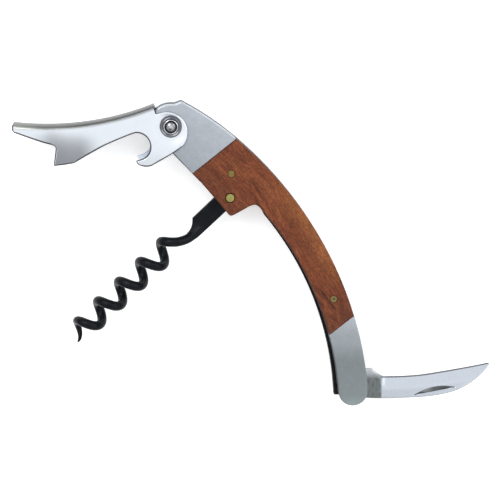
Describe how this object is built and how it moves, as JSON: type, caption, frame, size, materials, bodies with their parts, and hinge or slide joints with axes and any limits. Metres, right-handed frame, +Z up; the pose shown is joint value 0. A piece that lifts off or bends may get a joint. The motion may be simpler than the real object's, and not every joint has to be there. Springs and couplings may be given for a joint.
{
  "type": "waiters corkscrew",
  "caption": "Curved folding waiter's corkscrew with wood scales, steel bolsters, a hinged cap-lifting lever, a coated worm and a small foil blade.",
  "frame": {"origin": "centre of the object's footprint, on the surface that it lies on", "axes": "+X along the greatest length, from the toe of the lever to the point of the blade; +Y across, towards the lever's back; +Z up through the thickness of the handle, parallel to every pivot"},
  "size_m": [0.1615, 0.1045, 0.0168],
  "materials": {
    "liner_steel": "satin stainless plate",
    "spring_black": "blackened spring steel",
    "bolster_steel": "fine brushed satin stainless",
    "wood": "oiled reddish-brown hardwood, open pored",
    "pin_brass": "ground flush, slightly dull",
    "washer_bronze": "thin bronze washer",
    "worm_coating": "satin black non-stick coating on steel wire",
    "blade_steel": "satin ground blade",
    "lever_steel": "polished stainless sheet",
    "rivet_steel": "polished domed rivet and dished washer"
  },
  "bodies": {
    "handle": {"liner_front": "liner_steel", "liner_rear": "liner_steel", "backspring": "spring_black", "upper_bolster_front": "bolster_steel", "upper_bolster_rear": "bolster_steel", "lower_bolster_front": "bolster_steel", "lower_bolster_rear": "bolster_steel", "scale_front": "wood", "scale_rear": "wood", "spring_pin": "bolster_steel", "upper_scale_pin": "pin_brass", "lower_scale_pin_front": "pin_brass", "lower_scale_pin_rear": "pin_brass", "worm_pivot_pin": "pin_brass", "worm_washers": "washer_bronze", "blade_pivot_pin": "bolster_steel", "blade_washers": "washer_bronze"},
    "lever": {"lever": "lever_steel", "lever_rivet": "rivet_steel", "lever_rosette_front": "rivet_steel", "lever_rosette_rear": "rivet_steel"},
    "worm": {"worm": "worm_coating"},
    "blade": {"blade": "blade_steel"}
  },
  "joints": [
    {"name": "lever_hinge", "type": "hinge", "parent": "handle", "child": "lever", "pos_m": [-0.02905, 0.0445, 0.0084], "axis": [0, 0, 1], "range_deg": [-55, 110]},
    {"name": "worm_hinge", "type": "hinge", "parent": "handle", "child": "worm", "pos_m": [-0.00985, 0.0207, 0.0084], "axis": [0, 0, 1], "range_deg": [-36, 71]},
    {"name": "blade_hinge", "type": "hinge", "parent": "handle", "child": "blade", "pos_m": [0.03415, -0.0469, 0.0084], "axis": [0, 0, 1], "range_deg": [-79, 101]}
  ],
  "couplings": [
    {"joint": "worm_hinge", "follows": "lever_hinge", "ratio": 0.64}
  ]
}
